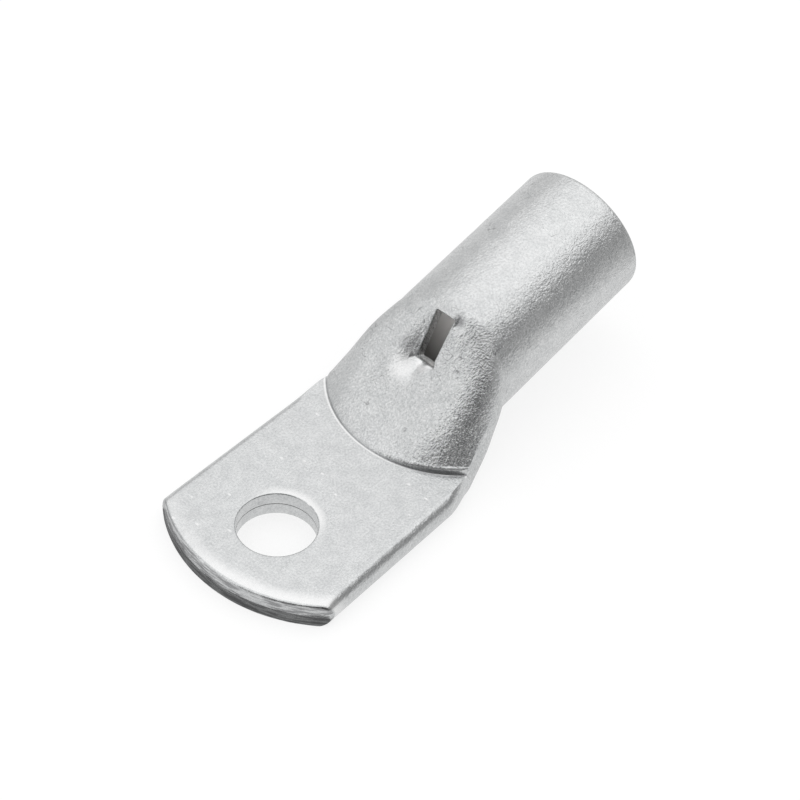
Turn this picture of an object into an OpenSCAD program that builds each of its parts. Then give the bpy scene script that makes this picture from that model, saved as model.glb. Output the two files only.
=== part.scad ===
// One-piece tube lug for a heavy stranded cable, in millimetres.
// A length of round tube is left round at one end, where the cable goes in, and is pressed
// flat at the other end, where the bolt goes through.
// The bolt hole's axis is the Z axis, and the palm's contact face lies in the plane z = 0.
// The barrel points along +X and rises from that plane at a small angle.

/* [Barrel] */
// Outside diameter of the round barrel
barrel_d = 24; // [20:0.5:28]
// Diameter of the cable socket
bore_d = 19; // [15:0.5:20]
// Length of the round barrel along its own axis
barrel_len = 32.1; // [20:0.2:60]
// Angle in degrees at which the barrel rises from the palm's plane
barrel_rise = 9; // [2:0.5:12]
// Rounding of the outer edge at the barrel's mouth
mouth_edge_r = 0.9; // [0.2:0.1:1.2]
// Chamfer of the socket's edge at the mouth
mouth_chamfer = 0.5; // [0.2:0.1:0.8]

/* [Palm] */
// Thickness of the palm, which is both walls of the tube pressed together
palm_t = 4.7; // [4:0.1:6]
// Width of the palm beside the neck
palm_w = 34.2; // [32:0.2:36]
// Width of the palm at its tip
tip_w = 35.4; // [32:0.2:38]
// How far the folded side stands out beyond the flat face's edge
fold_bulge = 1.4; // [0.8:0.1:2]
// Diameter of the bolt hole
hole_d = 13; // [8:0.5:17]
// Distance from the bolt hole's axis to the middle of the tip
tip_reach = 13.7; // [12:0.1:24]
// Radius of the curved tip
tip_r = 27; // [22:0.2:40]
// Sideways offset of the tip curve's centre, towards +Y
tip_offset = 0.4; // [0:0.1:1]
// Height of the slit that stays between the two pressed walls
seam_gap = 0.12; // [0.08:0.01:0.3]

/* [Neck] */
// Distance from the bolt hole's axis to the crease where the palm's flat face ends
crease_x = 21.9; // [18:0.1:26]
// Radius of the crease, seen from above
crease_r = 20.9; // [20.4:0.1:30]
// Distance from the bolt hole's axis to the bend in the underside
bend_x = 41.5; // [39:0.1:48]
// Distance from the bolt hole's axis to the start of the side flare
flare_start_x = 22; // [18:0.1:26]
// Distance from the bolt hole's axis to the end of the side flare
flare_end_x = 41; // [38:0.1:46]
// Height of the pressed step at the crease, on the +Y side
step_low = 0.3; // [0.2:0.05:0.6]
// Height of the pressed step at the crease, on the -Y side
step_high = 0.9; // [0.6:0.05:1.2]
// Length over which the step rises
step_run = 0.3; // [0.2:0.05:0.5]
// How far the neck sways towards +Y just above the crease
neck_sway = 0.65; // [0:0.05:1]

/* [Window] */
// Length of the inspection window down the slope of the neck
window_len = 8.4; // [4:0.2:9]
// Width of the inspection window
window_w = 3.8; // [2:0.1:5]
// Depth of the dent along the window's +Y rim
dent_depth = 1.1; // [0:0.1:1.3]
// Width of that dent
dent_w = 3; // [1.5:0.1:4]

/* [Hidden] */

// Segments of each quarter of a section: along the folded side and along the face
fold_steps = 4;
face_steps = 14;
quarter_steps = fold_steps + face_steps;
ring_points = 4 * quarter_steps;
// Rings along the palm and along the neck
palm_rings = 8;
neck_rings = 18;
// Smoothness of the true cylinders and of the mouth's rounded edge
$fn = 96;
edge_steps = 6;
// Rings crowd towards the crease: power of the distance that is left to it
ring_crowding = 1.7;

// Angle of a quarter turn, and the part of it that becomes the folded side
quarter = 90;
fold_angle = 14;

// Colour of the tin plating
tin_grey = [0.79, 0.80, 0.80];

barrel_r = barrel_d / 2;
bore_r = bore_d / 2;
wall = barrel_r - bore_r;
half_t = palm_t / 2;
half_gap = seam_gap / 2;
pressed_wall = half_t - half_gap;
// Half the slit's width: the socket's half girth laid flat
slit_half_w = PI * bore_r / 2;

// The pressed skin lies this much inside the round barrel's, so that one covers the other
skin_step_share = 1 / 800;
skin_step = barrel_d * skin_step_share;
// How far the round barrel and its socket reach back over the pressed skin
overlap_share = 1 / 120;
overlap = barrel_d * overlap_share;
// How far cutting shapes stand out beyond what they cut
cut_over_share = 1 / 12;
cut_over = barrel_d * cut_over_share;

slant_r = barrel_r / cos(barrel_rise);
slant_bore_r = bore_r / cos(barrel_rise);
floor_z = slant_r - slant_bore_r;
// Height of the barrel's axis above the contact face at distance x
function axis_z(x) = slant_r + (x - bend_x) * tan(barrel_rise);

function mix(a, b, t) = a + (b - a) * t;
function clamp01(t) = min(1, max(0, t));

// Profile of the neck's top along the middle, from the crease up to the barrel
foot_run_share = 0.6;
foot_rise_share = 0.32;
brow_run_share = 0.84;
neck_run = bend_x - crease_x;
neck_rise = axis_z(bend_x) + slant_r - palm_t;
brow_x = crease_x + neck_run * brow_run_share;
neck_profile = [
    [crease_x, palm_t],
    [crease_x + neck_run * foot_run_share, palm_t + neck_rise * foot_rise_share],
    [brow_x, axis_z(brow_x) + slant_r],
    [bend_x, axis_z(bend_x) + slant_r]
];
// Point of a Bezier curve: the points draw together in pairs until one is left
function curve(p, t) =
    len(p) == 1 ? p[0] : curve([for (i = [0:len(p) - 2]) mix(p[i], p[i + 1], t)], t);
// Direction of the same curve, of any length
function heading(p, t) = curve([for (i = [0:len(p) - 2]) p[i + 1] - p[i]], t);
// The neck's profile moved inwards by the wall
function inner_profile(t) =
    let (d = heading(neck_profile, t), w = mix(pressed_wall, wall, t))
    curve(neck_profile, t) + w * [d[1], -d[0]] / norm(d);

// The sides flatten later than the middle does: power of the middle's flatness
side_lag = 2.6;

// The middle of the top is pressed lower than its shoulders: power of the height's sine
middle_power = 2.5;

// Share of the full palm width that is left at distance x
flare_power = 1.5;
function width_share(x) =
    1 - pow(clamp01((x - flare_start_x) / (flare_end_x - flare_start_x)), flare_power);

// Angles round a section, from the +Y side over the top and back along the bottom
quarter_angles = concat(
    [for (i = [0:fold_steps - 1]) fold_angle * i / fold_steps],
    [for (i = [0:face_steps]) mix(fold_angle, quarter, i / face_steps)]
);
section_angles = [
    for (q = [0:3], i = [0:quarter_steps - 1])
        q % 2 == 0 ? quarter * q + quarter_angles[i]
                   : quarter * (q + 1) - quarter_angles[quarter_steps - i]
];

// A skin is [radius where round, half width at the tip, half width at the neck,
// bulge of the folded side, half height where flat, height of its floor]
outer_skin = [barrel_r - skin_step, tip_w / 2, palm_w / 2, fold_bulge, half_t, 0];
inner_skin = [bore_r - skin_step, slit_half_w, slit_half_w, half_gap, half_gap, floor_z];

// The folded side stands out less beside the crease than along the palm
tight_fold_share = 0.3;
crease_end_x = crease_x + crease_r - sqrt(crease_r * crease_r - pow(palm_w / 2 - fold_bulge, 2));
function bulge_share(x) =
    mix(1, tight_fold_share, clamp01((x - flare_start_x) / (crease_end_x - flare_start_x)));

// Point of the flat section at angle e above the side: [y, share of the half height]
function flat_point(e, half_w, bulge, half_h) =
    let (
        arc_r = (half_h * half_h + bulge * bulge) / (2 * bulge),
        turn = asin(min(1, half_h / arc_r)) * min(1, e / fold_angle),
        along = clamp01((e - fold_angle) / (quarter - fold_angle))
    )
    e < fold_angle
        ? [half_w - arc_r * (1 - cos(turn)), arc_r * sin(turn) / half_h]
        : [(half_w - bulge) * (1 - along), 1];

// The crease is a true arc round the lug's middle, so the sway counts in it
function crease_back(y) = crease_r - sqrt(crease_r * crease_r - y * y);
// Most of its growth lies near the -Y side: power of the share of the width that is behind
step_growth_power = 2.5;
function step_height(y) =
    mix(step_low, step_high, pow(1 - clamp01((y + palm_w / 2) / palm_w), step_growth_power));
// The step fades on the folded side, and up the neck: powers of the height and of the way left
step_side_power = 4;
step_fade_power = 3;
// So does the crease's curve, up the neck
curve_fade_power = 1.3;

// Smooth bump of height 1 at t = 0 that ends at t = -1 and t = 1
function hump(t) = pow(cos(quarter * min(1, abs(t))), 2);

// The neck sways to the +Y side above the crease, and a little back before the round barrel.
// Both places and lengths are shares of the neck's length.
sway_share = 0.36;
sway_run_share = 0.35;
return_share = 0.84;
return_run_share = 0.16;
return_amount_share = 0.25;
function sway(x) =
    let (along = (x - crease_x) / neck_run)
    neck_sway
        * (hump((along - sway_share) / sway_run_share)
            - return_amount_share * hump((along - return_share) / return_run_share));

// The punch that made the window also pressed in the rim on the +Y side
window_share = 0.61;
window_at = curve(neck_profile, window_share);
window_slope = heading(neck_profile, window_share);
window_tilt = atan2(window_slope[1], window_slope[0]);
// Depth of the shape that cuts it, half of it on each side of the outer skin
window_cut_depth = 2 * (wall + cut_over);
function rim_dent(x, y) =
    dent_depth
        * hump((x - window_at[0]) / (window_len * cos(window_tilt)))
        * hump((y - window_w / 2) / dent_w);

// A ring is [distance of its middle, flatness, share of the crease's curve, lean, step share]
function skin_point(a, ring, skin) =
    let (
        up = sin(a),
        side = cos(a) < 0 ? -1 : 1,
        e = asin(min(1, abs(up))),
        plan_y = flat_point(e, skin[2], skin[3], skin[4])[0],
        plain_x = ring[0] + ring[2] * crease_back(plan_y),
        crease_y = side * plan_y + sway(plain_x),
        x = ring[0] + ring[2] * crease_back(crease_y) + ring[3] * skin[0] * sin(barrel_rise) * (1 - up),
        palm_half_w = mix(skin[1], skin[2], clamp01((x + tip_reach) / (crease_x + tip_reach))),
        half_w = mix(skin[0], palm_half_w, width_share(x)),
        flat = flat_point(e, half_w, skin[3] * bulge_share(x), skin[4]),
        side_flatness = pow(ring[1], side_lag),
        top_flatness = mix(side_flatness, ring[1], pow(abs(up), middle_power)),
        mid = axis_z(x),
        reach = skin[0] / cos(barrel_rise),
        round_z = up >= 0 ? mid + reach * up : mid + min(mid - skin[5], reach) * up,
        flat_z = half_t + (up >= 0 ? 1 : -1) * skin[4] * flat[1],
        y = mix(half_w * abs(cos(a)), flat[0], side_flatness),
        lift = up > 0 ? ring[4] * step_height(side * y) * pow(flat[1], step_side_power) : 0,
        dent = up > 0 ? rim_dent(x, side * y) : 0
    )
    [x, side * y + sway(x), mix(round_z, flat_z, up > 0 ? top_flatness : side_flatness) + lift - dent];

function palm_ring(i) =
    let (w = 1 - pow(1 - i / palm_rings, ring_crowding))
    [mix(-tip_reach - cut_over, crease_x, w), 1, w, 0, 0];

function flatness(p, slant, flat_z) =
    let (top = axis_z(p[0]) + slant)
    clamp01((top - p[1]) / (top - flat_z));

outer_rings = concat(
    [for (i = [0:palm_rings]) palm_ring(i)],
    [[crease_x + step_run, 1, 1, 0, 1]],
    [for (i = [1:neck_rings])
        let (t = i / neck_rings, p = curve(neck_profile, t))
        [p[0], flatness(p, slant_r, palm_t), pow(1 - t, curve_fade_power), t, pow(1 - t, step_fade_power)]]
);
inner_rings = concat(
    [for (i = [0:palm_rings]) palm_ring(i)],
    [for (i = [0:neck_rings])
        let (t = i / neck_rings, p = inner_profile(t))
        [p[0], flatness(p, slant_bore_r, half_t + half_gap), pow(1 - t, curve_fade_power), t, 0]]
);
// Where the round barrel's axis starts, and a point on it that closes both skins
round_start_x = bend_x + barrel_r * sin(barrel_rise);
apex_x = round_start_x + barrel_r / 2;
apex = [apex_x, 0, axis_z(apex_x)];

// Closed body through all rings of a skin
module pressed_body(rings, skin) {
    n = ring_points;
    last = len(rings) - 1;
    points = concat([for (r = rings, a = section_angles) skin_point(a, r, skin)], [apex]);
    walls = [
        for (j = [0:last - 1], i = [0:n - 1], half = [0:1])
            let (k = (i + 1) % n)
            half == 0 ? [j * n + i, (j + 1) * n + k, j * n + k]
                      : [j * n + i, (j + 1) * n + i, (j + 1) * n + k]
    ];
    start_cap = [for (i = [1:n - 2]) [0, i, i + 1]];
    end_cap = [for (i = [0:n - 1]) [last * n + i, len(points) - 1, last * n + (i + 1) % n]];
    polyhedron(points, concat(walls, start_cap, end_cap));
}

// Carries what is drawn along +Z onto the barrel's axis, at the start of the round barrel
module on_barrel_axis() {
    translate([round_start_x, 0, axis_z(round_start_x)])
        rotate([0, quarter - barrel_rise, 0])
            children();
}

// Round rod with its outer edge rounded at the mouth
module barrel_rod() {
    on_barrel_axis()
        rotate_extrude()
            polygon(concat(
                [[0, barrel_len], [0, -overlap], [barrel_r, -overlap]],
                [for (i = [0:edge_steps])
                    [barrel_r - mouth_edge_r * (1 - cos(quarter * i / edge_steps)),
                     barrel_len - mouth_edge_r * (1 - sin(quarter * i / edge_steps))]]
            ));
}

// Socket for the cable, with a chamfered edge
module cable_bore() {
    on_barrel_axis() {
        translate([0, 0, -overlap])
            cylinder(r = bore_r, h = barrel_len + overlap + cut_over);
        translate([0, 0, barrel_len - mouth_chamfer])
            cylinder(r1 = bore_r, r2 = bore_r + mouth_chamfer + cut_over, h = mouth_chamfer + cut_over);
    }
}

module bolt_hole() {
    translate([0, 0, -cut_over])
        cylinder(d = hole_d, h = palm_t + 2 * cut_over);
}

// What is cut away to leave the curved tip
module tip_trim() {
    translate([0, 0, -cut_over])
        difference() {
            translate([-tip_reach - 2 * cut_over, -tip_w, 0])
                cube([tip_reach, 2 * tip_w, palm_t + 2 * cut_over]);
            translate([tip_r - tip_reach, tip_offset, -cut_over])
                cylinder(r = tip_r, h = palm_t + 4 * cut_over);
        }
}

// Inspection window, cut square to the slope of the neck
module window_cut() {
    translate([window_at[0], 0, window_at[1]])
        rotate([0, -window_tilt, 0])
            cube([window_len, window_w, window_cut_depth], center = true);
}

module lug() {
    color(tin_grey)
        difference() {
            union() {
                barrel_rod();
                pressed_body(outer_rings, outer_skin);
            }
            pressed_body(inner_rings, inner_skin);
            cable_bore();
            bolt_hole();
            tip_trim();
            window_cut();
        }
}

lug();
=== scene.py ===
import math

import bmesh
import bpy
import numpy as np
from mathutils import Matrix, Vector


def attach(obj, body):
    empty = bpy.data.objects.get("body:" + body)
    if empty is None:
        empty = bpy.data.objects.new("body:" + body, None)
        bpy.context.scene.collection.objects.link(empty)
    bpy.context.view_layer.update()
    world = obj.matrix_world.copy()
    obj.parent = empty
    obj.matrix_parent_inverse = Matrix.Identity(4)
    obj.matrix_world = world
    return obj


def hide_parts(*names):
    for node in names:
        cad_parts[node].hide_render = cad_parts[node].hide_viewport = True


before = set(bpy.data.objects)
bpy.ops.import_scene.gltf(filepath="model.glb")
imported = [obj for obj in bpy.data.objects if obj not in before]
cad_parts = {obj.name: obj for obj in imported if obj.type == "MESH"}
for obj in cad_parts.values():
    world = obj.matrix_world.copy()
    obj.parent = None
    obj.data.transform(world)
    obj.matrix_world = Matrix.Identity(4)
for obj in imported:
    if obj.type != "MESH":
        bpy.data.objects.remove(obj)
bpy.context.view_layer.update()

# The camera looks down on the lug from the tip's side, with the palm in front and the
# barrel going away to the upper right. The frame it fills is 800 by 800 pixels.
CAMERA_AZIMUTH = math.radians(-141.805)
CAMERA_ELEVATION = math.radians(45.583)
CAMERA_ROLL = math.radians(3.563)
CAMERA_DISTANCE = 0.46946
CAMERA_TARGET = Vector((0.03733, 0.00652, 0.0))
SENSOR_MM = 36.0
FOCAL_PIXELS = 2839.53
FRAME_PIXELS = 800.0

back = Vector((
    math.cos(CAMERA_ELEVATION) * math.cos(CAMERA_AZIMUTH),
    math.cos(CAMERA_ELEVATION) * math.sin(CAMERA_AZIMUTH),
    math.sin(CAMERA_ELEVATION),
))
level_right = (-back).cross(Vector((0, 0, 1))).normalized()
level_up = level_right.cross(-back)
right = math.cos(CAMERA_ROLL) * level_right + math.sin(CAMERA_ROLL) * level_up
up = -math.sin(CAMERA_ROLL) * level_right + math.cos(CAMERA_ROLL) * level_up
camera_data = bpy.data.cameras.new("camera")
camera_data.sensor_width = SENSOR_MM
camera_data.lens = SENSOR_MM * FOCAL_PIXELS / FRAME_PIXELS
camera_data.clip_start = 0.01
camera = bpy.data.objects.new("camera", camera_data)
camera.matrix_world = Matrix.Translation(CAMERA_TARGET + CAMERA_DISTANCE * back) @ Matrix((
    (right.x, up.x, back.x, 0),
    (right.y, up.y, back.y, 0),
    (right.z, up.z, back.z, 0),
    (0, 0, 0, 1),
))
bpy.context.scene.collection.objects.link(camera)
bpy.context.scene.camera = camera

# The lug is one length of copper tube, pressed flat at one end, punched twice, and tinned.
# Its skin inside and out is a grid of rows along the tube and columns round it, in
# millimetres, with the bolt hole at the origin and the palm's underside at height zero.
MM = 0.001
BARREL_R = 11.99
BORE_R = 9.5
WALL = BARREL_R - BORE_R
BARREL_LEN = 32.08
RISE = math.radians(9)
MOUTH_EDGE_R = 0.9
MOUTH_CHAMFER = 0.5
PALM_T = 4.7
HALF_T = PALM_T / 2
HALF_GAP = 0.06
TIP_HALF_W = 17.7
NECK_HALF_W = 17.1
SLIT_HALF_W = math.pi * BORE_R / 2
FOLD_BULGE = 1.4
HOLE_R = 6.5
HOLE_EDGE_R = 0.3
TIP_REACH = 13.695
TIP_R = 27.0
TIP_OFFSET = 0.4
TIP_SLANT = 0.3
TIP_EDGE_R = 0.55
TIP_FOOT_R = 0.2
TIP_SETBACK = 0.08
ROLL_DEPTH = 0.3
ROLL_RUN = 2.8
CREASE_X = 21.9
CREASE_R = 20.9
BEND_X = 41.5
FLARE_START_X = 22.0
FLARE_END_X = 41.0
FLARE_POWER = 1.5
TIGHT_FOLD_SHARE = 0.3
SIDE_LAG = 2.6
MIDDLE_POWER = 2.5
STEP_LOW = 0.3
STEP_HIGH = 0.9
STEP_RUN = 0.3
LIP_SHARE = 0.2
LIP_HALF = 0.25
NECK_SWAY = 0.65
SWAY_AT = 0.36
SWAY_HALF = 0.35
SWAY_BACK_AT = 0.84
SWAY_BACK_HALF = 0.16
SWAY_BACK_SHARE = 0.25
STEP_SIDE_POWER = 2.5
STEP_FADE_POWER = 3
CREASE_FADE_POWER = 1.3
FOLD_POWER = 4
FOLD_ANGLE = math.radians(14)
QUARTER = math.pi / 2

SLANT_R = BARREL_R / math.cos(RISE)
SLANT_BORE_R = BORE_R / math.cos(RISE)
FLOOR_Z = SLANT_R - SLANT_BORE_R
ROUND_X = BEND_X + BARREL_R * math.sin(RISE)

OUTER = {"r": BARREL_R, "tip": TIP_HALF_W, "neck": NECK_HALF_W, "bulge": FOLD_BULGE,
         "half": HALF_T, "floor": 0.0}
INNER = {"r": BORE_R, "tip": SLIT_HALF_W, "neck": SLIT_HALF_W, "bulge": HALF_GAP,
         "half": HALF_GAP, "floor": FLOOR_Z}


def mix(a, b, t):
    """Straight mix: a where t is 0, b where t is 1."""
    return a + (b - a) * t


def ease(a, b, v):
    """Smooth step 3t^2 - 2t^3 of v between a and b."""
    t = np.clip((v - a) / (b - a), 0, 1)
    return t * t * (3 - 2 * t)


def axis_z(x):
    """Height of the barrel's axis: a straight line that rises by tan(RISE) per millimetre."""
    return SLANT_R + (x - BEND_X) * math.tan(RISE)


def hump(t):
    """Squared cosine, 1 at t = 0 and 0 from t = 1 on."""
    return np.cos(QUARTER * np.minimum(1, np.abs(t))) ** 2


# The neck's top line is a cubic curve from the crease to the barrel. Its second point is given
# in shares of the neck's run and rise, and its third is the brow, level with the barrel's top.
PULL_RUN_SHARE = 0.6
PULL_RISE_SHARE = 0.32
BROW_SHARE = 0.84
NECK_RUN = BEND_X - CREASE_X
NECK_RISE = axis_z(BEND_X) + SLANT_R - PALM_T
BROW_X = CREASE_X + BROW_SHARE * NECK_RUN
NECK_LINE = np.array([
    [CREASE_X, PALM_T],
    [CREASE_X + PULL_RUN_SHARE * NECK_RUN, PALM_T + PULL_RISE_SHARE * NECK_RISE],
    [BROW_X, axis_z(BROW_X) + SLANT_R],
    [BEND_X, axis_z(BEND_X) + SLANT_R],
])


def neck_line(t, inwards):
    """Cubic curve of the neck's top along the middle, (x, z). Inwards it moves square to
    itself by the wall, which is half the palm's thickness at the crease and WALL at the barrel."""
    t = np.asarray(t, float)[..., None]
    p, q, r, s = NECK_LINE
    point = p * (1 - t) ** 3 + 3 * q * t * (1 - t) ** 2 + 3 * r * t ** 2 * (1 - t) + s * t ** 3
    if not inwards:
        return point[..., 0], point[..., 1]
    slope = (q - p) * (1 - t) ** 2 + 2 * (r - q) * t * (1 - t) + (s - r) * t ** 2
    slope = slope / np.linalg.norm(slope, axis=-1, keepdims=True)
    w = mix(HALF_T - HALF_GAP, WALL, t[..., 0])
    return point[..., 0] + w * slope[..., 1], point[..., 1] - w * slope[..., 0]


def pressed_half(e, half_w, bulge, half_h):
    """Quarter of the pressed section at angle e above its side: a circular fold that stands
    out by bulge, then straight across to the middle. Gives y and the share of half_h."""
    arc_r = (half_h ** 2 + bulge ** 2) / (2 * bulge)
    turn = np.arcsin(np.minimum(1, half_h / arc_r)) * np.minimum(1, e / FOLD_ANGLE)
    along = np.clip((e - FOLD_ANGLE) / (QUARTER - FOLD_ANGLE), 0, 1)
    folded = e < FOLD_ANGLE
    y = np.where(folded, half_w - arc_r * (1 - np.cos(turn)), (half_w - bulge) * (1 - along))
    return y, np.where(folded, arc_r * np.sin(turn) / half_h, 1.0)


def crease_back(y):
    """How far the crease, a circle of CREASE_R seen from above, has gone back at y."""
    return CREASE_R - np.sqrt(CREASE_R ** 2 - y ** 2)


def sway(x):
    """Sideways sway of the neck: a squared cosine hump to +Y above the crease and a small one
    back before the barrel."""
    along = (x - CREASE_X) / NECK_RUN
    back = SWAY_BACK_SHARE * hump((along - SWAY_BACK_AT) / SWAY_BACK_HALF)
    return NECK_SWAY * (hump((along - SWAY_AT) / SWAY_HALF) - back)


def tip_x(y):
    """The tip's arc, a circle of TIP_R seen from above with its centre TIP_OFFSET to +Y."""
    return TIP_R - TIP_REACH - np.sqrt(TIP_R ** 2 - (y - TIP_OFFSET) ** 2)


def half_width(x, skin):
    """Half width of a skin: the palm's, which tapers a little, until the flare takes it to
    the barrel's radius by a power curve."""
    palm = mix(skin["tip"], skin["neck"], np.clip((x + TIP_REACH) / (CREASE_X + TIP_REACH), 0, 1))
    left = 1 - np.clip((x - FLARE_START_X) / (FLARE_END_X - FLARE_START_X), 0, 1) ** FLARE_POWER
    return mix(skin["r"], palm, left)


CREASE_END_X = CREASE_X + crease_back(NECK_HALF_W - FOLD_BULGE)


def skin_at(a, x, flat, step, skin):
    """Point of a skin at angle a round its section. The section is a mix of the round tube's
    and the pressed tube's by flat. The sides flatten later than the middle. The pressed step
    of the crease and the dent beside the window are added on top."""
    up = np.sin(a)
    side = np.where(np.cos(a) < 0, -1.0, 1.0)
    e = np.arcsin(np.minimum(1, np.abs(up)))
    fold = mix(1, TIGHT_FOLD_SHARE, np.clip(
        (x - FLARE_START_X) / (CREASE_END_X - FLARE_START_X), 0, 1))
    half_w = half_width(x, skin)
    flat_y, flat_rise = pressed_half(e, half_w, skin["bulge"] * fold, skin["half"])
    side_flat = flat ** SIDE_LAG
    top_flat = mix(side_flat, flat, np.abs(up) ** MIDDLE_POWER)
    mid = axis_z(x)
    reach = skin["r"] / math.cos(RISE)
    top = up >= 0
    round_z = np.where(top, mid + reach * up, mid + np.minimum(mid - skin["floor"], reach) * up)
    flat_z = HALF_T + np.where(top, 1, -1) * skin["half"] * flat_rise
    y = side * mix(half_w * np.abs(np.cos(a)), flat_y, side_flat)
    z = mix(round_z, flat_z, np.where(up > 0, top_flat, side_flat))
    if skin is OUTER:
        over = 1 - np.clip(y / (2 * NECK_HALF_W) + 0.5, 0, 1)
        high = mix(STEP_LOW, STEP_HIGH, over ** STEP_SIDE_POWER)
        z = z + np.where(up > 0, step * high * flat_rise ** FOLD_POWER, 0)
    z = z - np.where(up > 0, window_dent(x, y), 0)
    return np.stack(np.broadcast_arrays(x, y + sway(x), z), -1)


# The window is a rounded rectangle punched through the neck's top. Its low end is rolled in with
# a larger radius, and there is a dent beside it and a dimple at its upper corner.
WINDOW_LEN = 8.4
WINDOW_W = 3.8
WINDOW_EDGE_R = 0.22
WINDOW_LIP_R = 1.5
WINDOW_CORNER_R = 0.25
DENT_DEPTH = 1.7
DENT_Y = 0.6
DENT_W = 4.4
DENT_BACK = 0.15
DIMPLE_DEPTH = 0.55
DIMPLE_R = 1.3
WINDOW_T = 0.61
SLOPE_T = 0.0001
WINDOW_X, WINDOW_Z = (float(v) for v in neck_line(WINDOW_T, False))
slope_x, slope_z = neck_line([WINDOW_T - SLOPE_T, WINDOW_T + SLOPE_T], False)
WINDOW_TILT = math.atan2(slope_z[1] - slope_z[0], slope_x[1] - slope_x[0])


def window_dent(x, y):
    """Depth of the dent on the window's +Y rim, a squared cosine hump both ways that eases off
    towards the -Y rim, and of the dimple at the window's top corner on the -Y side."""
    run = WINDOW_LEN * math.cos(WINDOW_TILT)
    dent = DENT_DEPTH * hump((x - WINDOW_X + DENT_BACK * run) / run) * hump((y - DENT_Y) / DENT_W)
    dimple = hump(np.hypot(x - WINDOW_X - run / 2, y + WINDOW_W / 2 + DIMPLE_R / 2) / DIMPLE_R)
    return dent * ease(-WINDOW_W / 2, DENT_Y, y) + DIMPLE_DEPTH * dimple


def crease_curve(a, skin, from_x, share=1.0):
    """How far the crease's curve has taken a column back from from_x. The crease is a true arc
    round the lug's middle, so the sway counts in it."""
    e = np.arcsin(np.minimum(1, np.abs(np.sin(a))))
    y = pressed_half(e, skin["neck"], skin["bulge"], skin["half"])[0]
    plain = from_x + share * crease_back(y)
    return share * crease_back(np.where(np.cos(a) < 0, -y, y) + sway(plain))


def palm_rows(w, a, skin):
    """Rows of the pressed palm: each column runs straight from the tip's arc to the crease. Its
    width and its end depend on each other, and three rounds settle them."""
    e = np.arcsin(np.minimum(1, np.abs(np.sin(a))))
    side = np.where(np.cos(a) < 0, -1, 1)
    crease = CREASE_X + crease_curve(a, skin, CREASE_X)
    x = mix(-TIP_REACH, crease, w)
    for _ in range(3):
        y, rise = pressed_half(e, half_width(x, skin), skin["bulge"], skin["half"])
        end = tip_x(side * y) + np.where(np.sin(a) < 0, TIP_SETBACK * rise ** 2, 0)
        if skin is OUTER:
            end = end + np.where(np.sin(a) < 0, TIP_FOOT_R, TIP_SLANT * rise ** 2 + TIP_EDGE_R)
        x = mix(end, crease, w)
    points = skin_at(a, x, 1.0, 0.0, skin)
    if skin is OUTER:
        left = np.maximum(0, 1 - (x - end) / ROLL_RUN)
        points[..., 2] -= np.where(np.sin(a) > 0, ROLL_DEPTH * rise ** FOLD_POWER * left ** 2, 0)
    return points


def neck_rows(t, a, skin):
    """Rows of the neck. The middle follows the neck's line, the row leans back more and more
    to stand square to the barrel, and the crease's curve fades out along it."""
    inwards = skin is INNER
    x0, z0 = neck_line(t, inwards)
    above = axis_z(x0) + skin["r"] / math.cos(RISE)
    pressed_z = PALM_T if skin is OUTER else HALF_T + HALF_GAP
    flat = np.clip((above - z0) / (above - pressed_z), 0, 1)
    x = (x0 + crease_curve(a, skin, x0, (1 - t) ** CREASE_FADE_POWER)
         + t * skin["r"] * math.sin(RISE) * (1 - np.sin(a)))
    step = ease(0, STEP_RUN, x0 - CREASE_X) * (1 - t) ** STEP_FADE_POWER
    step = step * (1 + LIP_SHARE * hump((x0 - CREASE_X - STEP_RUN - LIP_HALF) / LIP_HALF))
    return skin_at(a, x, flat, step, skin)


def barrel_rows(s, a, r):
    """Rows of the round barrel: a circle of radius r carried along its axis by s."""
    cr, sr = math.cos(RISE), math.sin(RISE)
    start = np.array([ROUND_X, 0.0, float(axis_z(ROUND_X))])
    s, a, r = np.broadcast_arrays(s, a, r)
    return start + np.stack([
        s * cr - r * np.sin(a) * sr, r * np.cos(a), s * sr + r * np.sin(a) * cr], -1)


def rounded(a, corner, c, steps):
    """Rows of a quadratic curve from a to c that bends round the corner."""
    t = np.linspace(0, 1, steps + 1)[:, None, None]
    return a * (1 - t) ** 2 + 2 * corner * t * (1 - t) + c * t ** 2


def towards(a, b, length):
    """Point at that length from a on the way to b."""
    way = b - a
    return a + length * way / np.linalg.norm(way, axis=-1, keepdims=True)


FOLD_COLUMNS = 8
FACE_COLUMNS = 36
QUARTER_COLUMNS = FOLD_COLUMNS + FACE_COLUMNS
COLUMNS = 4 * QUARTER_COLUMNS
quarter_angles = np.concatenate([
    np.linspace(0, FOLD_ANGLE, FOLD_COLUMNS + 1)[:-1],
    np.linspace(FOLD_ANGLE, QUARTER, FACE_COLUMNS + 1),
])
half_angles = np.concatenate([quarter_angles, math.pi - quarter_angles[-2::-1]])
angles = np.concatenate([half_angles[:-1], math.pi + half_angles[:-1]])[None, :]

spread = np.linspace(0, 1, 73)
palm_w = (spread - 0.5 * np.sin(2 * math.pi * spread) / (2 * math.pi))[:, None]
neck_t = np.concatenate([
    [0.0015, 0.003, 0.005, 0.0075, 0.011, 0.016, 0.024, 0.035, 0.05],
    np.linspace(0.07, 1, 54),
])[:, None]
barrel_s = np.linspace(0, 1, 37)[1:, None]

quads = []
corners = []
slots = []


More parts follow.
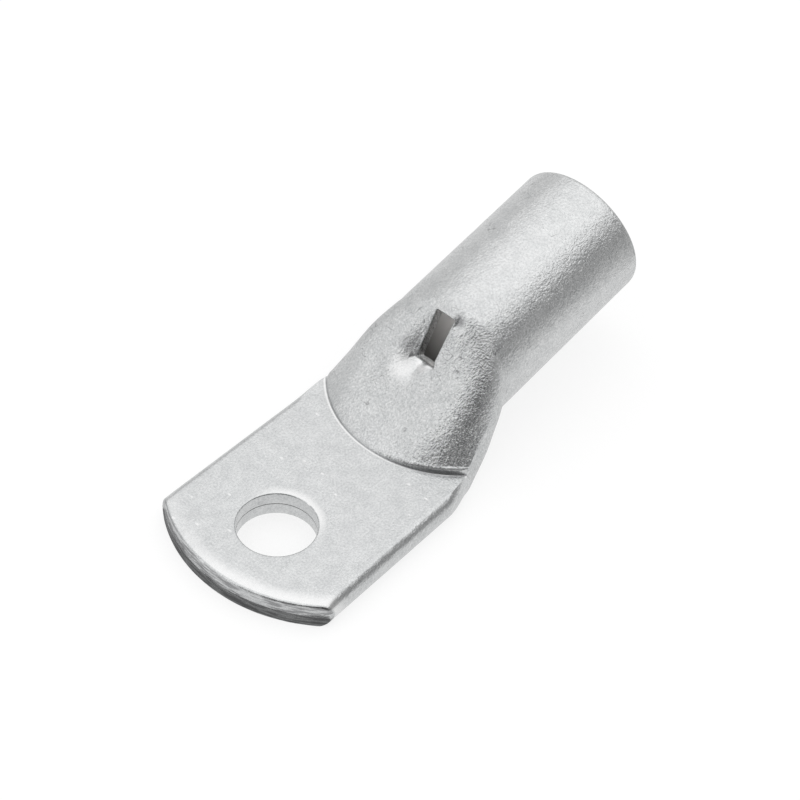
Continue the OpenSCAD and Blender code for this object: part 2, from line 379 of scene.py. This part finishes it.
def add_grid(points, closed=False, keep=None, slot=0):
    """Takes a grid of points and adds a quad for each cell, but for those that keep leaves out.
    Slot 0 is the tube's outside and its cut edges, slot 1 is its inside."""
    rows, columns = points.shape[:2]
    base = sum(len(c) for c in corners)
    number = base + np.arange(rows * columns).reshape(rows, columns)
    if closed:
        number = np.concatenate([number, number[:, :1]], 1)
    cells = np.stack([number[:-1, :-1], number[:-1, 1:], number[1:, 1:], number[1:, :-1]], -1)
    if keep is not None:
        cells = cells[keep]
    corners.append(points.reshape(-1, 3))
    quads.append(cells.reshape(-1, 4))
    slots.append(np.full(cells.size // 4, slot))


def block_edge(i0, i1, j0, j1):
    """Row and column numbers round the edge of a block of cells, in order."""
    step = 1 if j1 > j0 else -1
    rows, columns = np.arange(i0, i1), np.arange(j0, j1, step)
    first_row, last_row = np.full(len(columns), i0), np.full(len(columns), i1)
    first_column, last_column = np.full(len(rows), j0), np.full(len(rows), j1)
    i = np.concatenate([first_row, rows, last_row, rows[::-1] + 1])
    j = np.concatenate([columns, last_column, columns[::-1] + step, first_column])
    return i, j


outer = np.concatenate([
    palm_rows(palm_w, angles, OUTER),
    neck_rows(neck_t, angles, OUTER),
    barrel_rows(barrel_s * (BARREL_LEN - MOUTH_EDGE_R), angles, BARREL_R),
])
inner = np.concatenate([
    palm_rows(palm_w, angles, INNER),
    neck_rows(neck_t, angles, INNER),
    barrel_rows(barrel_s * (BARREL_LEN - MOUTH_CHAMFER), angles, BORE_R),
])

# Blocks of cells that the punched openings take out of the grid: first and last row, and
# first and last column, of the bolt hole above, the bolt hole below and the window
HOLE_BLOCK_HALF = 9.2
WINDOW_BLOCK_T = 0.615
WINDOW_BLOCK_HALF_T = 0.25
WINDOW_HALF_COLUMNS = 11
middle = QUARTER_COLUMNS
hole_rows = np.flatnonzero(np.abs(outer[:len(palm_w), middle, 0]) < HOLE_BLOCK_HALF)
side_step = (NECK_HALF_W - FOLD_BULGE) / FACE_COLUMNS
hole_half_columns = int(round(HOLE_BLOCK_HALF / side_step))
in_block = np.abs(neck_t[:, 0] - WINDOW_BLOCK_T) < WINDOW_BLOCK_HALF_T
window_rows = np.flatnonzero(in_block) + len(palm_w)
hole_top = (hole_rows[0], hole_rows[-1], middle - hole_half_columns, middle + hole_half_columns)
hole_bottom = (hole_rows[0], hole_rows[-1], COLUMNS - hole_top[2], COLUMNS - hole_top[3])
window_block = (window_rows[0], window_rows[-1],
                middle - WINDOW_HALF_COLUMNS, middle + WINDOW_HALF_COLUMNS)

keep = np.ones((len(outer) - 1, COLUMNS), bool)
for i0, i1, j0, j1 in (hole_top, hole_bottom, window_block):
    keep[i0:i1, min(j0, j1):max(j0, j1)] = False
add_grid(outer, closed=True, keep=keep)
add_grid(inner, closed=True, keep=keep, slot=1)

# The tip's end face, sheared through both walls: rounded at its outer edge, down to the slit
WALL_ROWS = np.array([0.25, 0.5, 0.75, 1.0])[:, None, None]
edge_r = np.where(np.sin(angles[0]) < 0, TIP_FOOT_R, TIP_EDGE_R)[:, None]
end_corner = outer[0].copy()
end_corner[:, :1] -= edge_r
end_wall = towards(end_corner, inner[0], edge_r)
add_grid(np.concatenate([
    rounded(outer[0], end_corner, end_wall, 4),
    mix(end_wall, inner[0], WALL_ROWS),
]), closed=True)

# The mouth: rounded outside, flat, and chamfered into the socket
mouth_corner = barrel_rows(BARREL_LEN, angles[0], BARREL_R)
mouth_wall = barrel_rows(BARREL_LEN, angles[0], BARREL_R - MOUTH_EDGE_R)
mouth_lip = barrel_rows(BARREL_LEN, angles[0], BORE_R + MOUTH_CHAMFER)
add_grid(np.concatenate([
    rounded(outer[-1], mouth_corner, mouth_wall, 6),
    mix(mouth_wall, mouth_lip, np.array([0.5, 1.0])[:, None, None]),
    inner[-1][None],
]), closed=True)

# The bolt hole: seven rings of cells from the block's edge to the circle, closer together at the
# circle, and the hole's wall through each of the two pressed walls
HOLE_RING_POWER = 1.3
i, j = block_edge(*hole_top)
hole_angle = np.arctan2(outer[i, j, 1], outer[i, j, 0])
circle = np.stack([np.cos(hole_angle), np.sin(hole_angle), 0 * hole_angle], -1)
HOLE_RINGS = np.linspace(0, 1, 8)[:, None, None] ** HOLE_RING_POWER
for block, face_z, slit_z in (
    (hole_top, PALM_T, HALF_T + HALF_GAP), (hole_bottom, 0.0, HALF_T - HALF_GAP)
):
    i, j = block_edge(*block)
    j = j % COLUMNS
    down = -1 if face_z > slit_z else 1
    rim = circle * (HOLE_R + HOLE_EDGE_R) + [0, 0, face_z]
    corner = circle * HOLE_R + [0, 0, face_z]
    wall = circle * HOLE_R + [0, 0, face_z + down * HOLE_EDGE_R]
    slit = circle * HOLE_R + [0, 0, slit_z]
    add_grid(mix(rim, outer[i, j], HOLE_RINGS), closed=True)
    add_grid(np.concatenate([
        rounded(rim, corner, wall, 4),
        mix(wall, slit, np.array([0.33, 0.66, 1.0])[:, None, None]),
    ]), closed=True)
    add_grid(mix(slit, inner[i, j], HOLE_RINGS), closed=True, slot=1)

# The window: a rectangle punched square to the neck's slope, worked out in the skin's own
# row and column numbers so that every point lies on the skin. The Newton steps that find them
# start from a straight guess, are kept short and stay in a range of row values.
WINDOW_RING_POWER = 1.4
NEWTON_STEPS = 25
GUESS_T_PER_MM = 0.035
MOST_T_STEP = 0.05
MOST_A_STEP = 0.1
T_RANGE = (0.05, 1.2)
along = np.array([math.cos(WINDOW_TILT), 0.0, math.sin(WINDOW_TILT)])
across = np.array([0.0, 1.0, 0.0])
window_centre = np.array([WINDOW_X, 0.0, WINDOW_Z])


def on_skin(p, q, skin):
    """Row value t and angle a at which a skin has the window coordinates p and q, by Newton
    steps with slopes taken from small differences."""
    t = WINDOW_T + GUESS_T_PER_MM * p
    a = QUARTER - q / skin["r"]
    h = 1e-5
    for _ in range(NEWTON_STEPS):
        here = neck_rows(t, a, skin) - window_centre
        by_t = (neck_rows(t + h, a, skin) - window_centre - here) / h
        by_a = (neck_rows(t, a + h, skin) - window_centre - here) / h
        f, g = here @ along - p, here @ across - q
        ft, fa, gt, ga = by_t @ along, by_a @ along, by_t @ across, by_a @ across
        det = ft * ga - fa * gt
        t = np.clip(t - np.clip((f * ga - fa * g) / det, -MOST_T_STEP, MOST_T_STEP), *T_RANGE)
        a = a - np.clip((ft * g - f * gt) / det, -MOST_A_STEP, MOST_A_STEP)
    return t, a


def lip_r(p):
    """Radius of the window's edge at p: it grows along the lower end, which was rolled in."""
    return mix(WINDOW_EDGE_R, WINDOW_LIP_R, ease(1 - WINDOW_LEN / 2, -WINDOW_LEN / 2, p))


def window_outline(grow, i, j, block):
    """Rounded rectangle in window coordinates, one point for each point of the block's edge:
    its sides are split as the block's are, and its corners are circular."""
    i0, i1, j0, j1 = block
    u = 2 * (i - i0) / (i1 - i0) - 1
    v = 2 * (j - j0) / (j1 - j0) - 1
    half_p, half_q = WINDOW_LEN / 2 + grow, WINDOW_W / 2 + grow
    r = WINDOW_CORNER_R + grow
    p, q = u * half_p, -v * half_q
    dp, dq = np.abs(p) - (half_p - r), np.abs(q) - (half_q - r)
    in_corner = (dp > 0) & (dq > 0)
    size = np.where(in_corner, np.hypot(dp, dq), 1)
    p = np.where(in_corner, np.sign(p) * (half_p - r + r * dp / size), p)
    q = np.where(in_corner, np.sign(q) * (half_q - r + r * dq / size), q)
    return p, q


i, j = block_edge(*window_block)
edge_t = neck_t[i - len(palm_w), 0]
edge_a = angles[0, j]
ring = np.linspace(0, 1, 9)[:, None] ** WINDOW_RING_POWER
edge_r = lip_r(window_outline(0.0, i, j, window_block)[0])
wide = on_skin(*window_outline(edge_r, i, j, window_block), OUTER)
add_grid(neck_rows(mix(wide[0], edge_t, ring), mix(wide[1], edge_a, ring), OUTER), closed=True)
window_rim = neck_rows(*wide, OUTER)
window_corner = neck_rows(*on_skin(*window_outline(0.0, i, j, window_block), OUTER), OUTER)
inside = on_skin(*window_outline(0.0, i, j, window_block), INNER)
window_foot = neck_rows(*inside, INNER)
window_wall = towards(window_corner, window_foot, edge_r[:, None])
add_grid(np.concatenate([
    rounded(window_rim, window_corner, window_wall, 6),
    mix(window_wall, window_foot, WALL_ROWS),
]), closed=True)
add_grid(
    neck_rows(mix(inside[0], edge_t, ring), mix(inside[1], edge_a, ring), INNER),
    closed=True, slot=1)

# The grids are joined along their shared edges, and the object's corners are kept sharp
MERGE_DIST = 3e-8
SHARP_ANGLE = math.radians(38)
mesh = bpy.data.meshes.new("tinned_lug")
mesh.from_pydata((np.concatenate(corners) * MM).tolist(), [], np.concatenate(quads).tolist())
mesh.polygons.foreach_set("material_index", np.concatenate(slots).astype(np.int32))
work = bmesh.new()
work.from_mesh(mesh)
bmesh.ops.delete(work, geom=[v for v in work.verts if not v.link_faces], context="VERTS")
bmesh.ops.remove_doubles(work, verts=work.verts, dist=MERGE_DIST)
bmesh.ops.recalc_face_normals(work, faces=work.faces)
work.to_mesh(mesh)
work.free()
mesh.shade_smooth()
mesh.set_sharp_from_angle(angle=SHARP_ANGLE)
lug = bpy.data.objects.new("tinned_lug", mesh)
bpy.context.scene.collection.objects.link(lug)


def linear(text):
    """Turns an sRGB hex colour into the linear values that a shader takes."""
    v = np.array([int(text[k:k + 2], 16) for k in (1, 3, 5)]) / 255
    v = np.where(v <= 0.04045, v / 12.92, ((v + 0.055) / 1.055) ** 2.4)
    return (*v.tolist(), 1.0)


def add_node(tree, kind, inputs=None, output=0, **settings):
    """Adds a node with its settings and inputs, where an input is a value or a socket to link,
    and gives back the named or numbered output."""
    node = tree.nodes.new(kind)
    for name, value in settings.items():
        setattr(node, name, value)
    for name, value in (inputs or {}).items():
        socket = node.inputs[name]
        if isinstance(value, bpy.types.NodeSocket):
            tree.links.new(value, socket)
        else:
            socket.default_value = value
    return node.outputs[output] if node.outputs else None


# Matt tin plating on copper: a soft silver grey. The tube's rolled skin is sandy on the barrel
# and the neck and pressed smoother on the palm. It mirrors the studio softly, with fine sparkle
# where light and dark meet, small nicks, and short dark marks like worm tracks.
tin = bpy.data.materials.new("matt_tin_plating")
tin.use_nodes = True
tree = tin.node_tree
tree.nodes.clear()
place = add_node(tree, "ShaderNodeTexCoord", output="Object")

# How far a point is, seen from above, from the centre of the crease's arc and of the tip's.
# Points beyond an arc's centre count as level with it, so each arc shows on one side only.
arcs = []
for arc_x, arc_y in ((CREASE_X + CREASE_R, 0.0), (TIP_R - TIP_REACH, TIP_OFFSET)):
    near_side = add_node(tree, "ShaderNodeVectorMath", {
        0: place, 1: (arc_x * MM, 1, 1)}, operation="MINIMUM")
    from_above = add_node(tree, "ShaderNodeVectorMath", {
        0: near_side, 1: (1, 1, 0)}, operation="MULTIPLY")
    arcs.append(add_node(tree, "ShaderNodeVectorMath", {
        0: from_above, 1: (arc_x * MM, arc_y * MM, 0)}, "Value", operation="DISTANCE"))
from_crease, from_tip = arcs

# The same from the bolt hole's axis, from the hole's side next to the neck, and from four
# places by the window: the hollow beside it, the rise in front of it, its low lip, the dimple
low_x = WINDOW_X - WINDOW_LEN / 2 * math.cos(WINDOW_TILT)
low_z = WINDOW_Z - WINDOW_LEN / 2 * math.sin(WINDOW_TILT)
spots = []
for spot, seen in (
    ((0.0, 0.0, 0.0), (1, 1, 0)),
    ((HOLE_R, 0.0, 0.0), (1, 1, 0)),
    ((low_x + 1.6, 4.0, low_z + 0.2), (1, 1, 1)),
    ((low_x - 1.9, 2.6, low_z - 1.6), (1, 1, 1)),
    ((low_x, 0.0, low_z), (1, 1, 1)),
    ((2 * WINDOW_X - low_x + 0.2, -2.7, 2 * WINDOW_Z - low_z), (1, 1, 1)),
):
    flat_spot = add_node(tree, "ShaderNodeVectorMath", {0: place, 1: seen}, operation="MULTIPLY")
    spots.append(add_node(tree, "ShaderNodeVectorMath", {
        0: flat_spot, 1: tuple(v * MM for v in spot)}, "Value", operation="DISTANCE"))
from_hole, from_hole_side, from_hollow, from_rise, from_lip, from_dimple = spots

# The point's own coordinates, and a share that is 1 on the palm's upper face and 0 lower down
parts = {axis: add_node(tree, "ShaderNodeSeparateXYZ", {0: place}, axis) for axis in "XYZ"}
on_top = add_node(tree, "ShaderNodeMapRange", {
    0: parts["Z"], 1: (PALM_T - 0.5) * MM, 2: (PALM_T - 0.2) * MM}, interpolation_type="SMOOTHSTEP")

# Painted highlights on places taken as burnished, where the sand is smoothed too: each a band from
# where it begins to where it ends, and what limits it: the tip's rolled edge, the bolt hole's rim,
# the crease's foot, the rise before the window and the window's low lip
beside_hole = add_node(tree, "ShaderNodeMapRange", {
    0: from_hole_side, 1: 3.0 * MM, 2: 10.0 * MM, 3: 1.0, 4: 0.0}, interpolation_type="SMOOTHSTEP")
along_tip = add_node(tree, "ShaderNodeMapRange", {
    0: parts["Y"], 1: -2 * MM, 2: 12 * MM, 3: 0.9, 4: 0.3}, interpolation_type="SMOOTHSTEP")
painted_highlight_and_burnish = 0.0
for away, begins, ends, limit in (
    (from_tip, (TIP_R - 3.2, TIP_R - 1.0), (TIP_R - 0.75, TIP_R - 0.55), along_tip),
    (from_hole, (HOLE_R + 0.05, HOLE_R + 0.3), (HOLE_R + 0.3, HOLE_R + 1.8), beside_hole),
    (from_crease, (CREASE_R + 0.02, CREASE_R + 0.1), (CREASE_R + 0.25, CREASE_R + 0.5), on_top),
    (from_rise, (-2.0, -1.0), (0.6, 3.6), 0.7),
    (from_lip, (-2.0, -1.0), (1.2, 2.4), 1.0),
):
    begun = add_node(tree, "ShaderNodeMapRange", {
        0: away, 1: begins[0] * MM, 2: begins[1] * MM}, interpolation_type="SMOOTHSTEP")
    left = add_node(tree, "ShaderNodeMapRange", {
        0: away, 1: ends[0] * MM, 2: ends[1] * MM, 3: 1.0, 4: 0.0}, interpolation_type="SMOOTHSTEP")
    band = add_node(tree, "ShaderNodeMath", {0: begun, 1: left}, operation="MULTIPLY")
    band = add_node(tree, "ShaderNodeMath", {0: band, 1: limit}, operation="MULTIPLY")
    painted_highlight_and_burnish = add_node(tree, "ShaderNodeMath", {0: painted_highlight_and_burnish, 1: band}, operation="MAXIMUM")

# The pair of distances between which the neck's skin gives way to the palm's, across the crease
to_palm = {1: (CREASE_R - 0.5) * MM, 2: (CREASE_R + 0.3) * MM}

# Skin: slow waves everywhere, and two sizes of sand that are strong on the neck and the barrel,
# weak on the palm and nearly gone on the burnished places that carry the painted highlight
sand = add_node(tree, "ShaderNodeMapRange", {
    0: from_crease, **to_palm, 3: 1.0, 4: 0.3},
    interpolation_type="SMOOTHSTEP")
dull = add_node(tree, "ShaderNodeMapRange", {0: painted_highlight_and_burnish, 1: 0.0, 2: 0.6, 3: 1.0, 4: 0.15})
sand = add_node(tree, "ShaderNodeMath", {0: sand, 1: dull}, operation="MULTIPLY")
even = add_node(tree, "ShaderNodeMapRange", {
    0: parts["X"], 1: 36 * MM, 2: 46 * MM, 3: 1.0, 4: 0.72}, interpolation_type="SMOOTHSTEP")
sand = add_node(tree, "ShaderNodeMath", {0: sand, 1: even}, operation="MULTIPLY")
skin_normal = None
for grain, rough, depth, strength in (
    (3.4, 0.5, 0.10, 1.0), (0.9, 0.5, 0.10, sand), (0.34, 0.6, 0.15, sand)
):
    height = add_node(tree, "ShaderNodeTexNoise", {
        "Vector": place, "Scale": 1 / (grain * MM), "Detail": 2.0, "Roughness": rough})
    bump = {"Height": height, "Strength": strength, "Distance": depth * MM}
    if skin_normal is not None:
        bump["Normal"] = skin_normal
    skin_normal = add_node(tree, "ShaderNodeBump", bump)

# Tone: fine specks, a little stronger on the neck and barrel, and slow clouds, about a middle that
# is painted a little paler towards the mouth to brighten the barrel's highlight
speck_share = add_node(tree, "ShaderNodeMapRange", {
    0: from_crease, **to_palm, 3: 0.46, 4: 0.42},
    interpolation_type="SMOOTHSTEP")
mixed = add_node(tree, "ShaderNodeMapRange", {
    0: parts["X"], 1: 38 * MM, 2: 52 * MM, 3: 0.44, 4: 0.62}, interpolation_type="SMOOTHSTEP")
for grain, detail, rough, share in ((0.36, 2.0, 0.6, speck_share), (2.4, 3.0, 0.5, 0.22)):
    noise = add_node(tree, "ShaderNodeTexNoise", {
        "Vector": place, "Scale": 1 / (grain * MM), "Detail": detail, "Roughness": rough})
    noise = add_node(tree, "ShaderNodeMapRange", {
        0: noise, 1: 0.30, 2: 0.70, 3: -0.5, 4: 0.5}, interpolation_type="SMOOTHSTEP")
    mixed = add_node(tree, "ShaderNodeMath", {
        0: noise, 1: share, 2: mixed}, operation="MULTIPLY_ADD")
tone = add_node(tree, "ShaderNodeMix", {
    0: mixed, 6: linear("#CACCCD"), 7: linear("#F6F7F7")}, 2, data_type="RGBA")
# Painted highlight: the tone is whitened over these places
painted_highlight_share = add_node(tree, "ShaderNodeMath", {0: painted_highlight_and_burnish, 1: 0.88}, operation="MULTIPLY")
tone = add_node(tree, "ShaderNodeMix", {
    0: painted_highlight_share, 6: tone, 7: linear("#FFFFFF")}, 2, data_type="RGBA")

# Painted shade: a thin dark line at the foot of the crease's step, and dark patches on the hollow
# and the dimple
for away, begins, ends, limit, share, grey in (
    (from_crease, (CREASE_R - 0.14, CREASE_R - 0.08), (CREASE_R - 0.02, CREASE_R + 0.05),
     on_top, 0.5, "#6C6C70"),
    (from_hollow, (-2.0, -1.0), (0.3, 2.6), 1.0, 0.5, "#7E7E80"),
    (from_dimple, (-2.0, -1.0), (0.3, 1.4), 1.0, 0.6, "#6E6E70"),
):
    begun = add_node(tree, "ShaderNodeMapRange", {
        0: away, 1: begins[0] * MM, 2: begins[1] * MM, 3: 0.0, 4: share},
        interpolation_type="SMOOTHSTEP")
    left = add_node(tree, "ShaderNodeMapRange", {
        0: away, 1: ends[0] * MM, 2: ends[1] * MM, 3: 1.0, 4: 0.0}, interpolation_type="SMOOTHSTEP")
    band = add_node(tree, "ShaderNodeMath", {0: begun, 1: left}, operation="MULTIPLY")
    band = add_node(tree, "ShaderNodeMath", {0: band, 1: limit}, operation="MULTIPLY")
    tone = add_node(tree, "ShaderNodeMix", {0: band, 6: tone, 7: linear(grey)}, 2, data_type="RGBA")

# Sheared streaks along the tip's end, a third of a millimetre high and eight times as long
squeezed = add_node(tree, "ShaderNodeVectorMath", {
    0: place, 1: (0.12, 0.12, 1.0)}, operation="MULTIPLY")
streak = add_node(tree, "ShaderNodeTexNoise", {
    "Vector": squeezed, "Scale": 1 / (0.35 * MM), "Detail": 2.0})
streak = add_node(tree, "ShaderNodeMapRange", {
    0: streak, 1: 0.38, 2: 0.62, 3: 0.0, 4: 0.75}, interpolation_type="SMOOTHSTEP")
at_end = add_node(tree, "ShaderNodeMapRange", {
    0: from_tip, 1: (TIP_R - 0.55) * MM, 2: (TIP_R - 0.3) * MM}, interpolation_type="SMOOTHSTEP")
streak = add_node(tree, "ShaderNodeMath", {0: streak, 1: at_end}, operation="MULTIPLY")
tone = add_node(tree, "ShaderNodeMix", {
    0: streak, 6: tone, 7: linear("#8A8A8C")}, 2, data_type="RGBA")

# Dark marks like worm tracks: thin lines where one noise crosses its middle, kept only in the
# few places where a slower noise is high
line = add_node(tree, "ShaderNodeTexNoise", {
    "Vector": place, "Scale": 1 / (2.9 * MM), "Detail": 1.5})
line = add_node(tree, "ShaderNodeMath", {0: line, 1: 0.5}, operation="SUBTRACT")
line = add_node(tree, "ShaderNodeMath", {0: line}, operation="ABSOLUTE")
line = add_node(tree, "ShaderNodeMapRange", {
    0: line, 1: 0.0025, 2: 0.010, 3: 1.0, 4: 0.0}, interpolation_type="SMOOTHSTEP")
patch = add_node(tree, "ShaderNodeTexNoise", {
    "Vector": place, "Scale": 1 / (4.1 * MM), "Detail": 2.0})
patch = add_node(tree, "ShaderNodeMapRange", {
    0: patch, 1: 0.58, 2: 0.64}, interpolation_type="SMOOTHSTEP")
line = add_node(tree, "ShaderNodeMath", {0: line, 1: patch}, operation="MULTIPLY")
skin_share = add_node(tree, "ShaderNodeMapRange", {
    0: from_crease, **to_palm, 3: 0.42, 4: 0.15},
    interpolation_type="SMOOTHSTEP")
line = add_node(tree, "ShaderNodeMath", {0: line, 1: skin_share}, operation="MULTIPLY")
line = add_node(tree, "ShaderNodeMath", {0: line, 1: dull}, operation="MULTIPLY")
tone = add_node(tree, "ShaderNodeMix", {
    0: line, 6: tone, 7: linear("#3E3E40")}, 2, data_type="RGBA")

# Sparse bright nicks, one in about three millimetres, clear on the palm and faint elsewhere
squeezed = add_node(tree, "ShaderNodeVectorMath", {
    0: place, 1: (1.0, 0.55, 1.0)}, operation="MULTIPLY")
nick = add_node(tree, "ShaderNodeTexVoronoi", {
    "Vector": squeezed, "Scale": 1 / (3.1 * MM)}, "Distance")
nick = add_node(tree, "ShaderNodeMapRange", {
    0: nick, 1: 0.03, 2: 0.10, 3: 1.0, 4: 0.0}, interpolation_type="SMOOTHSTEP")
palm_share = add_node(tree, "ShaderNodeMapRange", {
    0: from_crease, 1: CREASE_R * MM, 2: (CREASE_R + 0.3) * MM, 3: 0.15, 4: 0.85},
    interpolation_type="SMOOTHSTEP")
nick = add_node(tree, "ShaderNodeMath", {0: nick, 1: palm_share}, operation="MULTIPLY")
tone = add_node(tree, "ShaderNodeMix", {
    0: nick, 6: tone, 7: linear("#FFFFFF")}, 2, data_type="RGBA")
shader = add_node(tree, "ShaderNodeBsdfPrincipled", {
    "Base Color": tone, "Metallic": 1.0, "Roughness": 0.27, "Normal": skin_normal})
add_node(tree, "ShaderNodeOutputMaterial", {"Surface": shader})

# The tube's inside: the same tin, dull and grey, with faint lines along the tube from its drawing.
# Painted shade darkens it from a pale mouth towards the pressed end, which leaves the window dark
# with a paler top
inside_tin = bpy.data.materials.new("dull_tin_inside_painted_shade")
inside_tin.use_nodes = True
tree = inside_tin.node_tree
tree.nodes.clear()
place = add_node(tree, "ShaderNodeTexCoord", output="Object")
painted_shade_fade = add_node(tree, "ShaderNodeMapRange", {
    0: add_node(tree, "ShaderNodeSeparateXYZ", {0: place}, "X"), 1: 43 * MM, 2: 53 * MM},
    interpolation_type="SMOOTHSTEP")
tone = add_node(tree, "ShaderNodeMix", {
    0: painted_shade_fade, 6: linear("#7C7C7B"), 7: linear("#FFFEFD")}, 2, data_type="RGBA")
squeezed = add_node(tree, "ShaderNodeVectorMath", {
    0: place, 1: (0.05, 1.0, 1.0)}, operation="MULTIPLY")
height = add_node(tree, "ShaderNodeTexNoise", {
    "Vector": squeezed, "Scale": 1 / (0.8 * MM), "Detail": 3.0})
drawn = add_node(tree, "ShaderNodeBump", {"Height": height, "Strength": 0.6, "Distance": 0.08 * MM})
shader = add_node(tree, "ShaderNodeBsdfPrincipled", {
    "Base Color": tone, "Metallic": 1.0, "Roughness": 0.48, "Normal": drawn})
add_node(tree, "ShaderNodeOutputMaterial", {"Surface": shader})
mesh.materials.append(tin)
mesh.materials.append(inside_tin)

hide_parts("lug")
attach(lug, "root")

# The studio has no lamps: a white surround lights the lug from all sides, on a paper floor. The
# paper is lifted to white for the camera and for what the tin mirrors.
FLOOR_HALF = 2
PAPER_LIFT = 0.72
floor_mesh = bpy.data.meshes.new("floor")
floor_mesh.from_pydata([
    (-FLOOR_HALF, -FLOOR_HALF, 0), (FLOOR_HALF, -FLOOR_HALF, 0),
    (FLOOR_HALF, FLOOR_HALF, 0), (-FLOOR_HALF, FLOOR_HALF, 0)], [], [(0, 1, 2, 3)])
floor = bpy.data.objects.new("floor", floor_mesh)
bpy.context.scene.collection.objects.link(floor)
paper = bpy.data.materials.new("white_paper")
paper.use_nodes = True
tree = paper.node_tree
tree.nodes.clear()
seen = 0.0
for ray in ("Is Camera Ray", "Is Glossy Ray", "Is Transmission Ray"):
    seen = add_node(tree, "ShaderNodeMath", {
        0: add_node(tree, "ShaderNodeLightPath", output=ray), 1: seen}, operation="MAXIMUM")
lift = add_node(tree, "ShaderNodeMath", {0: seen, 1: PAPER_LIFT}, operation="MULTIPLY")
surface = add_node(tree, "ShaderNodeBsdfDiffuse", {"Color": linear("#9C9C9C")})
glow = add_node(tree, "ShaderNodeEmission", {"Color": (1, 1, 1, 1), "Strength": lift})
both = add_node(tree, "ShaderNodeAddShader", {0: surface, 1: glow})
add_node(tree, "ShaderNodeOutputMaterial", {"Surface": both})
floor_mesh.materials.append(paper)

# Grey card lies under the lug and stands round it, out of the camera's sight. The tin mirrors
# it as the darker bands along its sides; the camera, the paper and the shadows don't see it.
# Each card is named with its first and last azimuth in degrees, its centre's x, its inner and
# outer radius and its lower edge's height in metres, the elevations of its two top corners in
# degrees, and its grey.
CARD_X = 0.03
CARD_R = 0.7
TABLE_R = 0.075
CARD_LIFT = 0.0001
CARD_STEPS = 33
for name, turns, centre_x, radii, base, tops, grey in (
    ("card_front_left", (-192, -172), CARD_X, (CARD_R, CARD_R), CARD_LIFT, (28, 40), 0.20),
    ("card_front", (-172, -148), CARD_X, (CARD_R, CARD_R), CARD_LIFT, (42, 57), 0.14),
    ("card_front_right", (-148, -98), CARD_X, (CARD_R, CARD_R), CARD_LIFT, (60, 54), 0.11),
    ("card_right", (-98, -66), CARD_X, (CARD_R, CARD_R), CARD_LIFT, (53, 36), 0.23),
    ("card_far_right", (-66, -14), CARD_X, (CARD_R, CARD_R), CARD_LIFT, (34, 32), 0.30),
    ("card_back", (-14, 96), CARD_X, (CARD_R, CARD_R), CARD_LIFT, (35, 35), 0.58),
    ("card_back_pale", (-14, 96), CARD_X, (0.75, 0.75), CARD_LIFT, (56, 56), 0.92),
    ("card_left", (96, 132), CARD_X, (CARD_R, CARD_R), CARD_LIFT, (52, 52), 0.66),
    # Painted shade: the cards lying flat on the paper stand, in the tin's mirror, for the paper's
    # shade round the lug, and the dark one by the tip for its shadow there
    ("card_table_right", (-112, 0), CARD_X, (TABLE_R, CARD_R), CARD_LIFT, (0, 0), 0.50),
    ("card_table_left", (0, 248), CARD_X, (TABLE_R, CARD_R), CARD_LIFT, (0, 0), 0.74),
    ("card_table_middle", (0, 360), CARD_X, (0.0, TABLE_R), CARD_LIFT, (0, 0), 0.74),
    ("card_painted_shadow_under_tip", (138, 222), 0.0133, (0.02, 0.0292), 2 * CARD_LIFT, (0, 0), 0.20),
):
    turn = np.radians(np.linspace(*turns, CARD_STEPS))[None, :]
    row = np.array([0.0, 1.0])[:, None]
    radius = mix(radii[0], radii[1], row)
    climb = np.tan(np.radians(np.linspace(*tops, CARD_STEPS)))[None, :]
    high = base + row * radius * climb
    turn, radius, high = np.broadcast_arrays(turn, radius, high)
    points = np.stack([centre_x + radius * np.cos(turn), radius * np.sin(turn), high], -1)
    number = np.arange(points.shape[0] * points.shape[1]).reshape(points.shape[:2])
    cells = np.stack([number[:-1, 1:], number[:-1, :-1], number[1:, :-1], number[1:, 1:]], -1)
    card_mesh = bpy.data.meshes.new(name)
    card_mesh.from_pydata(points.reshape(-1, 3).tolist(), [], cells.reshape(-1, 4).tolist())
    card = bpy.data.objects.new(name, card_mesh)
    bpy.context.scene.collection.objects.link(card)
    card.visible_camera = False
    card.visible_diffuse = False
    card.visible_shadow = False
    board = bpy.data.materials.new(name)
    board.use_nodes = True
    tree = board.node_tree
    tree.nodes.clear()
    glow = add_node(tree, "ShaderNodeEmission", {"Color": (1, 1, 1, 1), "Strength": grey})
    add_node(tree, "ShaderNodeOutputMaterial", {"Surface": glow})
    card_mesh.materials.append(board)

# The surround is white to the camera and in the tin, and a little less bright on the paper
SURROUND_ON_PAPER = 0.95
world = bpy.data.worlds.new("white_surround")
bpy.context.scene.world = world
world.use_nodes = True
tree = world.node_tree
tree.nodes.clear()
seen = 0.0
for ray in ("Is Camera Ray", "Is Glossy Ray", "Is Transmission Ray"):
    seen = add_node(tree, "ShaderNodeMath", {
        0: add_node(tree, "ShaderNodeLightPath", output=ray), 1: seen}, operation="MAXIMUM")
strength = add_node(tree, "ShaderNodeMapRange", {
    0: seen, 1: 0.0, 2: 1.0, 3: SURROUND_ON_PAPER, 4: 1.0})
air = add_node(tree, "ShaderNodeBackground", {"Color": (1, 1, 1, 1), "Strength": strength})
add_node(tree, "ShaderNodeOutputWorld", {"Surface": air})

bpy.context.scene.view_settings.view_transform = "Standard"
